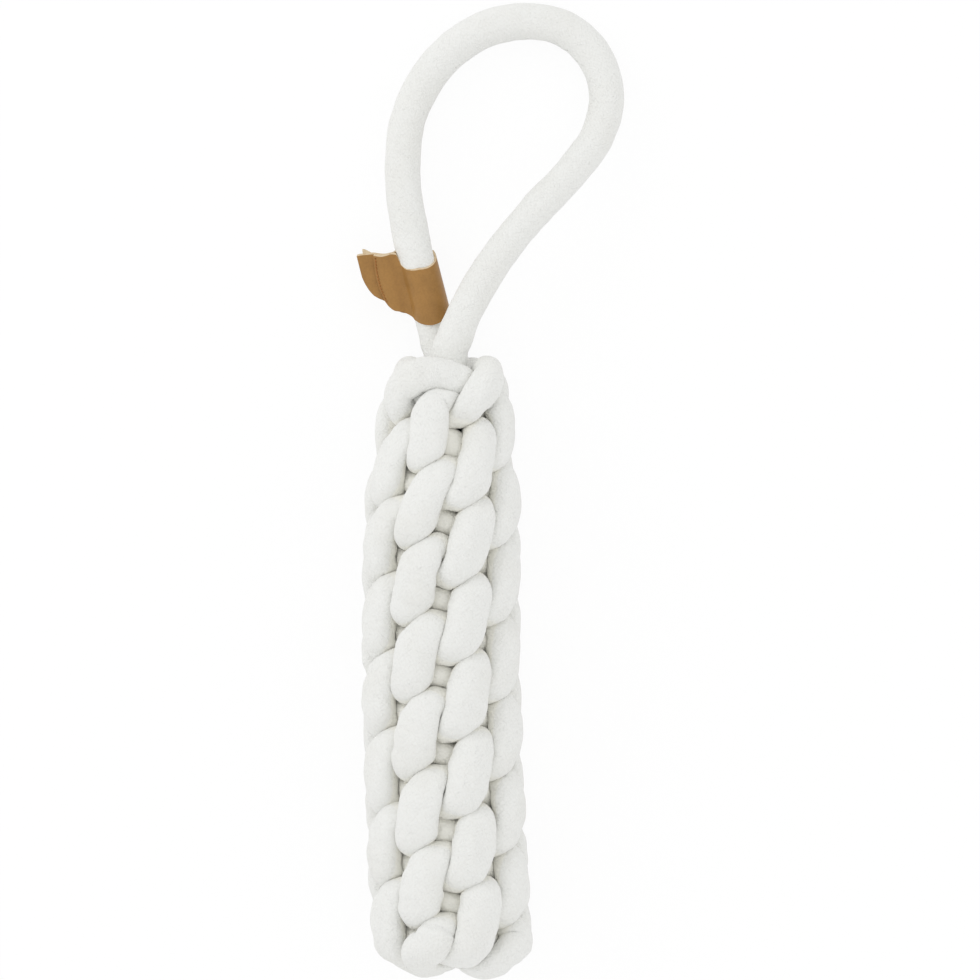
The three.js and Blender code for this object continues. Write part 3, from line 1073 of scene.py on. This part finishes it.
    def build(
        self, handle: Handle, sinnet: Sinnet, leather: Material, raw: Material, thread: Material
    ) -> None:
        """Makes the strap and its stitches.

        Args:
            handle: The loop that carries the tag.
            sinnet: The braid.
            leather: The strap's smooth faces.
            raw: Its cut edges and its raw corner.
            thread: The stitches' material.
        """
        strap = joined("tag_strap", self.strap(leather, raw), TagCorner().build(raw))
        strap.data.shade_smooth()
        self.lay(strap, handle, sinnet)
        finish_piece(strap, Body.TAG, Slot.LEATHER, "leather_tag")
        seam = TagStitches().build(self)
        self.lay(seam, handle, sinnet)
        finish_piece(seam, Body.TAG, Slot.THREAD, "tag_thread", thread)


@dataclass
class TagStitches:
    """Lock stitches along the front flap's free edge, with a thread on each side."""

    inset: float = 0.42 * MM
    pitch: float = 1.1 * MM
    diameter: float = 0.42 * MM
    swing: float = 0.2 * MM
    lift: float = 0.02 * MM
    per_pitch: int = 8
    first_rise: float = 0.05
    last_rise: float = 0.96
    ring_pitch: float = 0.09 * MM
    samples: int = 4
    sides: int = 10
    back_through: float = -0.25 * MM

    def thread(self, tag: LeatherTag, side: int) -> Run:
        """Runs one thread, in the sleeve's own frame.

        Args:
            tag: The tag that it closes.
            side: 1 on the front flap, -1 on the back one.

        Returns:
            The thread's rings.
        """
        profile = tag.profile()
        row = np.array([[np.interp(self.inset, profile[:, -1], value) for value in profile.T]])
        ends = tag.strap_points(row, np.array([self.first_rise, self.last_rise]))
        count = int((ends[1, 1] - ends[0, 1]) / self.pitch) * self.per_pitch + 1
        middle = tag.strap_points(row, np.linspace(self.first_rise, self.last_rise, count))
        wave = self.lift + self.swing * np.cos(2 * np.pi * np.arange(count) / self.per_pitch)
        if side < 0:
            middle[:, 2] = self.back_through
        middle[:, 2] += side * (tag.thickness / 2 + wave)
        stations = [Station(point, self.diameter, self.diameter) for point in middle]
        return lay_run(stations, self.ring_pitch, level=True, samples=self.samples)

    def build(self, tag: LeatherTag) -> Piece:
        """Makes both threads as one piece.

        Args:
            tag: The tag that they close.

        Returns:
            The stitches, in the sleeve's own frame.
        """
        threads = []
        for name, side in (("front_thread", 1), ("back_thread", -1)):
            alone = Bundle([self.thread(tag, side)], sides=self.sides, lump_height=0.0)
            threads.append(alone.tube(name))
        return joined("tag_stitches", *threads)


class Wiring:
    """Adds nodes to a tree and joins them."""

    def __init__(self, tree: NodeTree) -> None:
        """Keeps the tree that the nodes go into."""
        self.tree = tree

    def node(self, kind: str, fed: dict[str | int, object] | None = None, **settings: object) -> Node:
        """Adds a node.

        Args:
            kind: The node's type.
            fed: What its inputs get, by name or number.
            **settings: Its settings by name.

        Returns:
            The node.
        """
        node = self.tree.nodes.new(kind)
        for name, value in settings.items():
            setattr(node, name, value)
        self.feed(node, fed or {})
        return node

    def feed(self, node: Node, fed: dict[str | int, object]) -> None:
        """Gives a node's inputs what they work on.

        Args:
            node: The node.
            fed: For each input, by name or number, the socket that it joins or its plain value.
        """
        for name, value in fed.items():
            if isinstance(value, Socket):
                self.tree.links.new(value, node.inputs[name])
            else:
                node.inputs[name].default_value = value

    def maths(self, operation: str, *values: object) -> Socket:
        """Works out one sum."""
        return self.node("ShaderNodeMath", dict(enumerate(values)), operation=operation).outputs[0]

    def vectors(self, operation: str, *values: object) -> Socket:
        """Works out one sum of vectors."""
        node = self.node("ShaderNodeVectorMath", dict(enumerate(values)), operation=operation)
        return node.outputs[0]

    def eased(self, value: object, low: float, high: float, most: float = 1.0) -> Socket:
        """Eases a value from 0 at low to the most at high."""
        fed = {"Value": value, "From Min": low, "From Max": high, "To Max": most}
        return self.node("ShaderNodeMapRange", fed, interpolation_type="SMOOTHSTEP").outputs["Result"]

    def blend(self, share: object, first: object, second: object) -> Socket:
        """Mixes two colours, whose sockets share their names with others and go by number."""
        return self.node("ShaderNodeMix", {0: share, 6: first, 7: second}, data_type="RGBA").outputs[2]

    def noise(self, place: object, scale: object, detail: float) -> Node:
        """Adds soft noise at a place."""
        return self.node("ShaderNodeTexNoise", {"Vector": place, "Scale": scale, "Detail": detail})

    def bump(self, height: object, distance: float, **under: Socket) -> Socket:
        """Raises a surface by a height, on top of the Normal under it where one is given."""
        return self.node("ShaderNodeBump", {"Height": height, "Distance": distance, **under}).outputs[0]

    def group(self, tree: NodeTree, **fed: object) -> Node:
        """Places a node group and gives its inputs."""
        return self.node("ShaderNodeGroup", fed, node_tree=tree)

    def lay(self) -> Socket:
        """The UV map that runs round a rope and along it."""
        return self.node("ShaderNodeUVMap", uv_map="lay").outputs["UV"]


def new_group(
    name: str, inputs: dict[str, str], outputs: list[str]
) -> tuple[Wiring, bpy.types.NodeOutputs, Node]:
    """Starts a shader node group.

    Args:
        name: The group's name.
        inputs: The kind of each input's socket.
        outputs: The names of the outputs, which are all numbers.

    Returns:
        Its wiring, what it is given, and its output node.
    """
    tree = bpy.data.node_groups.new(name, "ShaderNodeTree")
    for socket, kind in inputs.items():
        tree.interface.new_socket(name=socket, in_out="INPUT", socket_type=kind)
    for socket in outputs:
        tree.interface.new_socket(name=socket, in_out="OUTPUT", socket_type="NodeSocketFloat")
    wiring = Wiring(tree)
    return wiring, wiring.node("NodeGroupInput").outputs, wiring.node("NodeGroupOutput")


@dataclass(frozen=True)
class Mottle:
    """Uneven tone and fine fuzz, shared by the rope, the leather and the thread."""

    name: str = "mottle"
    tone_detail: float = 3.0
    fuzz_detail: float = 4.0

    def build(self) -> NodeTree:
        """Makes the node group.

        Returns:
            The group: Place, Broad and Fine in, Tone and Fuzz out.
        """
        inputs = {"Place": "NodeSocketVector", "Broad": "NodeSocketFloat", "Fine": "NodeSocketFloat"}
        wiring, given, out = new_group(self.name, inputs, ["Tone", "Fuzz"])
        tone = wiring.noise(given["Place"], given["Broad"], self.tone_detail)
        fuzz = wiring.noise(given["Place"], given["Fine"], self.fuzz_detail)
        wiring.feed(out, {"Tone": tone.outputs["Fac"], "Fuzz": fuzz.outputs["Fac"]})
        return wiring.tree


@dataclass(frozen=True)
class PlaitedSheath:
    """The cotton sheath of the rope: yarns that pass over and under each other."""

    name: str = "plaited_sheath"
    rise: float = 0.55
    yarn_roundness: float = 0.7
    groove_span: Span = (0.55, 0.1)

    def build(self) -> NodeTree:
        """Makes the node group, where yarns of two slants take turns to pass over.

        Returns:
            The group: Lay, Round and Along in, Height and Groove out.
        """
        inputs = {"Lay": "NodeSocketVector", "Round": "NodeSocketFloat", "Along": "NodeSocketFloat"}
        wiring, given, out = new_group(self.name, inputs, ["Height", "Groove"])
        maths = wiring.maths
        lay = wiring.node("ShaderNodeSeparateXYZ", {0: given["Lay"]}).outputs
        across = maths("MULTIPLY", lay[0], given["Round"])
        up = maths("MULTIPLY", lay[1], given["Along"])
        right = maths("ADD", across, up)
        left = maths("SUBTRACT", across, up)
        cells = maths("ADD", maths("FLOOR", right), maths("FLOOR", left))
        odd = maths("FLOORED_MODULO", cells, 2.0)
        right_part = maths("FRACT", right)
        left_part = maths("FRACT", left)
        change = maths("MULTIPLY", maths("SUBTRACT", left_part, right_part), odd)
        side = maths("ADD", right_part, change)
        length = maths("SUBTRACT", left_part, change)
        round_back = maths("SINE", maths("MULTIPLY", side, math.pi))
        lift = maths("SINE", maths("MULTIPLY", length, math.pi))
        bulge = maths("MULTIPLY_ADD", lift, self.rise, 1 - self.rise)
        height = maths("MULTIPLY", maths("POWER", round_back, self.yarn_roundness), bulge)
        # Groove is 1 where the yarns dip low, the mask for the cotton's painted shade
        wiring.feed(out, {"Height": height, "Groove": wiring.eased(height, *self.groove_span)})
        return wiring.tree


@dataclass(frozen=True)
class Coat:
    """What a finish starts from: its nodes, the piece's coordinates, and its tone and fuzz."""

    wiring: Wiring
    place: Socket
    tone: Socket
    fuzz: Socket


@dataclass(frozen=True)
class Finish:
    """What every finish has. Its colour turns to its shade by a look of its own."""

    name: str
    colour: Colour
    shade: Colour
    roughness: float
    broad: float
    fine: float
    sheen: float = 0.0
    specular: float = 0.5

    def look(self, coat: Coat) -> dict[str, Socket]:
        """Each finish works out its own look."""
        raise NotImplementedError

    def build(self, mottle: NodeTree) -> Material:
        """Makes the material.

        Args:
            mottle: The shared mottle group.

        Returns:
            The material.
        """
        material = bpy.data.materials.new(self.name)
        material.use_nodes = True
        shader = material.node_tree.nodes["Principled BSDF"]
        wiring = Wiring(material.node_tree)
        place = wiring.node("ShaderNodeTexCoord").outputs["Object"]
        spread = wiring.group(mottle, Place=place, Broad=self.broad, Fine=self.fine).outputs
        wiring.feed(shader, {"Roughness": self.roughness, "Sheen Weight": self.sheen})
        wiring.feed(shader, {"Specular IOR Level": self.specular})
        wiring.feed(shader, self.look(Coat(wiring, place, spread["Tone"], spread["Fuzz"])))
        return material


@dataclass(frozen=True)
class CottonFinish(Finish):
    """Undyed plaited cotton, mottled a little, with painted shade in the grooves between its yarns and
    painted light deep in its creases.
    """

    name: str = "plaited_cotton"
    colour: Colour = (0.90, 0.904, 0.882, 1.0)
    shade: Colour = (0.84, 0.835, 0.795, 1.0)
    # Painted light: a paler colour in the creases and deep gaps, to lift the shade that falls there
    painted_crease_light: Colour = (0.935, 0.928, 0.876, 1.0)
    painted_crease_span: Span = (0.10, 0.45)
    roughness: float = 0.9
    sheen: float = 0.15
    specular: float = 0.2
    broad: float = 55.0
    fine: float = 1150.0
    tone_ramp: Vector = (0.42, 0.72, 0.35)
    fuzz_span: Span = (0.62, 0.38)
    fuzz_share: float = 0.2
    # Painted shade: the share of the shade colour laid into the grooves between the yarns
    painted_groove_shade: float = 0.22
    yarns_round: float = 24.0
    yarns_along: float = 637.0
    wobble: Vector = (0.05, 0.0018, 0.0)
    wobble_middle: Vector = (0.5, 0.5, 0.5)
    wobble_scale: float = 420.0
    wobble_detail: float = 2.0
    knot_height: float = 0.5 * MM
    yarn_height: float = 0.07 * MM
    fuzz_height: float = 0.34 * MM

    def look(self, coat: Coat) -> dict[str, Socket]:
        """Plaits the sheath from yarns that wander a little.

        Args:
            coat: What the finish starts from.

        Returns:
            What goes into the shader.
        """
        wiring = coat.wiring
        jitter = wiring.noise(coat.place, self.wobble_scale, self.wobble_detail).outputs
        centred = wiring.vectors("SUBTRACT", jitter["Color"], self.wobble_middle)
        lay = wiring.vectors("ADD", wiring.lay(), wiring.vectors("MULTIPLY", centred, self.wobble))
        sheath = wiring.group(
            PlaitedSheath().build(), Lay=lay, Round=self.yarns_round, Along=self.yarns_along
        )
        groove_shade_mask, fuzz = sheath.outputs["Groove"], wiring.eased(coat.fuzz, *self.fuzz_span)
        dull = wiring.eased(coat.tone, *self.tone_ramp)
        # Painted shade in the yarns' grooves, on top of the random tone
        dull = wiring.maths("MULTIPLY_ADD", groove_shade_mask, self.painted_groove_shade, dull)
        dull = wiring.maths("MULTIPLY_ADD", fuzz, self.fuzz_share, dull)
        pressed = wiring.node("ShaderNodeAttribute", attribute_name="pressed").outputs["Fac"]
        colour = wiring.blend(dull, self.colour, self.shade)
        # Painted light in the creases and deep gaps, where the pressed mask is high
        colour = wiring.blend(wiring.eased(pressed, *self.painted_crease_span), colour, self.painted_crease_light)
        uneven = wiring.bump(jitter["Fac"], self.knot_height)
        woven = wiring.bump(sheath.outputs["Height"], self.yarn_height, Normal=uneven)
        fuzzy = wiring.bump(coat.fuzz, self.fuzz_height, Normal=woven)
        return {"Base Color": colour, "Normal": fuzzy}


@dataclass(frozen=True)
class LeatherFinish(Finish):
    """Smooth tan leather with a fine grain and darker rubbed patches."""

    name: str = "tan_leather"
    colour: Colour = (0.382, 0.196, 0.052, 1.0)
    shade: Colour = (0.268, 0.136, 0.036, 1.0)
    roughness: float = 0.42
    roughness_spread: float = 0.16
    specular: float = 0.35
    broad: float = 190.0
    fine: float = 2600.0
    tone_ramp: Vector = (0.35, 0.7, 0.4)
    pore_scale: float = 1700.0
    pore_span: Span = (0.2, 0.75)
    pore_share: float = 0.25
    grain_height: float = 0.03 * MM
    fuzz_height: float = 0.02 * MM

    def look(self, coat: Coat) -> dict[str, Socket]:
        """Grains the leather with pores.

        Args:
            coat: What the finish starts from.

        Returns:
            What goes into the shader.
        """
        wiring = coat.wiring
        fed = {"Vector": coat.place, "Scale": self.pore_scale}
        pores = wiring.node("ShaderNodeTexVoronoi", fed, feature="SMOOTH_F1").outputs["Distance"]
        dull = wiring.eased(coat.tone, *self.tone_ramp)
        pored = wiring.eased(pores, *self.pore_span)
        dull = wiring.maths("MULTIPLY_ADD", pored, self.pore_share, dull)
        least = self.roughness - self.roughness_spread / 2
        rough = wiring.maths("MULTIPLY_ADD", coat.tone, self.roughness_spread, least)
        grained = wiring.bump(wiring.maths("SUBTRACT", 1.0, pores), self.grain_height)
        return {
            "Base Color": wiring.blend(dull, self.colour, self.shade),
            "Roughness": rough,
            "Normal": wiring.bump(coat.fuzz, self.fuzz_height, Normal=grained),
        }


@dataclass(frozen=True)
class RawEdgeFinish(Finish):
    """The pale fibres at the leather's cut edges."""

    name: str = "raw_leather_edge"
    colour: Colour = (0.74, 0.60, 0.41, 1.0)
    shade: Colour = (0.50, 0.33, 0.17, 1.0)
    roughness: float = 0.85
    sheen: float = 0.1
    specular: float = 0.2
    broad: float = 700.0
    fine: float = 3800.0
    tone_ramp: Vector = (0.4, 0.75, 0.6)
    fuzz_height: float = 0.08 * MM

    def look(self, coat: Coat) -> dict[str, Socket]:
        """Mottles the fibres.

        Args:
            coat: What the finish starts from.

        Returns:
            What goes into the shader.
        """
        wiring = coat.wiring
        colour = wiring.blend(wiring.eased(coat.tone, *self.tone_ramp), self.colour, self.shade)
        return {"Base Color": colour, "Normal": wiring.bump(coat.fuzz, self.fuzz_height)}


@dataclass(frozen=True)
class ThreadFinish(Finish):
    """Dark waxed thread, laid up from two twisted plies."""

    name: str = "waxed_thread"
    colour: Colour = (0.44, 0.20, 0.065, 1.0)
    shade: Colour = (0.20, 0.082, 0.022, 1.0)
    roughness: float = 0.7
    specular: float = 0.15
    broad: float = 900.0
    fine: float = 6000.0
    tone_share: float = 0.3
    plies: float = 2.0
    turns: float = 1500.0
    half_ply: float = 0.5
    ply_seam_shade: Vector = (0.25, 0.0, 0.7)
    ply_height: float = 0.02 * MM

    def look(self, coat: Coat) -> dict[str, Socket]:
        """Twists the plies, with painted shade in the grooves where they meet.

        Args:
            coat: What the finish starts from.

        Returns:
            What goes into the shader.
        """
        wiring = coat.wiring
        lay = wiring.node("ShaderNodeSeparateXYZ", {0: wiring.lay()}).outputs
        around = wiring.maths("MULTIPLY", lay[0], self.plies)
        twist = wiring.maths("MULTIPLY_ADD", lay[1], self.turns, around)
        ply = wiring.maths("PINGPONG", twist, self.half_ply)
        # Painted shade in the grooves between the plies
        dull = wiring.eased(ply, *self.ply_seam_shade)
        dull = wiring.maths("MULTIPLY_ADD", coat.tone, self.tone_share, dull)
        colour = wiring.blend(dull, self.colour, self.shade)
        return {"Base Color": colour, "Normal": wiring.bump(ply, self.ply_height)}


@dataclass(frozen=True)
class Lamp:
    """A soft round lamp that points at the toy."""

    name: str
    place: Vector
    size: float
    power: float

    def build(self) -> None:
        """Hangs the lamp."""
        light = bpy.data.lights.new(self.name, "AREA")
        light.shape = "DISK"
        light.size = self.size
        light.energy = self.power
        holder = linked(self.name, light)
        holder.location = self.place
        aside, along, height = self.place
        pitch = math.atan2(math.hypot(aside, along), height)
        holder.rotation_euler = (pitch, 0.0, math.atan2(-along, -aside) - math.pi / 2)


@dataclass
class Studio:
    """Camera, lamps, floor and backdrop."""

    picture_width: float = 313.6 * MM
    picture_centre: Span = (-0.174 * MM, 0.122 * MM)
    axis_height: float = 24 * MM
    distance: float = 5.0
    view_end: float = 10.0
    sensor: float = 36.0
    floor_size: float = 6.0
    floor_drop: float = 0.2 * MM
    floor_tone: Colour = (0.95, 0.95, 0.95, 1.0)
    floor_glow: float = 1.012
    floor_glow_share: float = 0.9
    world_strength: float = 0.90
    lamps: tuple[Lamp, ...] = (
        Lamp("key_lamp", place=(-0.95, 0.8, 0.7), size=0.7, power=2.2),
        Lamp("fill_lamp", place=(0.9, -0.3, 1.1), size=0.9, power=0.5),
    )

    def make_camera(self) -> None:
        """Looks straight down on the toy, at the photograph's framing."""
        camera = bpy.data.cameras.new("camera")
        camera.sensor_width = self.sensor
        camera.lens = self.sensor * self.distance / self.picture_width
        camera.clip_end = self.view_end
        holder = linked("camera", camera)
        holder.location = (*self.picture_centre, self.axis_height + self.distance)
        bpy.context.scene.camera = holder

    @staticmethod
    def seen(wiring: Wiring) -> Socket:
        """Tells looking at the background from being lit by it.

        Args:
            wiring: The nodes of the background's material.

        Returns:
            1 where it is looked at, mirrored or seen through glass, and 0 elsewhere.
        """
        path = wiring.node("ShaderNodeLightPath").outputs
        mirrored = wiring.maths("MAXIMUM", path["Is Camera Ray"], path["Is Glossy Ray"])
        return wiring.maths("MAXIMUM", mirrored, path["Is Transmission Ray"])

    def make_floor(self) -> None:
        """Lays a white floor that keeps a soft shadow."""
        select_only()
        bpy.ops.mesh.primitive_plane_add(size=self.floor_size, location=(0.0, 0.0, -self.floor_drop))
        floor = bpy.context.object
        floor.name = "floor"
        material = bpy.data.materials.new("white_floor")
        material.use_nodes = True
        material.node_tree.nodes.clear()
        wiring = Wiring(material.node_tree)
        matt = wiring.node("ShaderNodeBsdfDiffuse", {"Color": self.floor_tone}).outputs[0]
        glow = wiring.node("ShaderNodeEmission", {"Strength": self.floor_glow}).outputs[0]
        share = wiring.maths("MULTIPLY", self.seen(wiring), self.floor_glow_share)
        mixed = wiring.node("ShaderNodeMixShader", {0: share, 1: matt, 2: glow}).outputs[0]
        wiring.node("ShaderNodeOutputMaterial", {"Surface": mixed})
        floor.data.materials.append(material)

    def make_world(self) -> None:
        """Fills in from all round with plain white."""
        world = bpy.data.worlds.new("studio")
        world.use_nodes = True
        wiring = Wiring(world.node_tree)
        back = world.node_tree.nodes["Background"]
        wiring.feed(back, {"Color": WHITE, "Strength": self.world_strength})
        plain = wiring.node("ShaderNodeBackground", {"Color": WHITE, "Strength": 1.0})
        fed = {0: self.seen(wiring), 1: back.outputs[0], 2: plain.outputs[0]}
        mixed = wiring.node("ShaderNodeMixShader", fed).outputs[0]
        wiring.feed(world.node_tree.nodes["World Output"], {"Surface": mixed})
        bpy.context.scene.world = world

    def build(self) -> None:
        """Sets up everything round the toy."""
        bpy.context.scene.view_settings.view_transform = "Standard"
        self.make_camera()
        self.make_world()
        self.make_floor()
        for lamp in self.lamps:
            lamp.build()


def main() -> None:
    """Builds the pieces in order and reports each."""
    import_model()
    Studio().build()
    mottle = Mottle().build()
    cotton = CottonFinish().build(mottle)
    leather = LeatherFinish().build(mottle)
    raw = RawEdgeFinish().build(mottle)
    thread = ThreadFinish().build(mottle)
    sinnet = Sinnet()
    strands = sinnet.build(cotton)
    handle = Handle()
    handle.build(sinnet, strands, cotton)
    LeatherTag().build(handle, sinnet, leather, raw, thread)


if __name__ == "__main__":
    logging.basicConfig(level=logging.INFO)
    main()
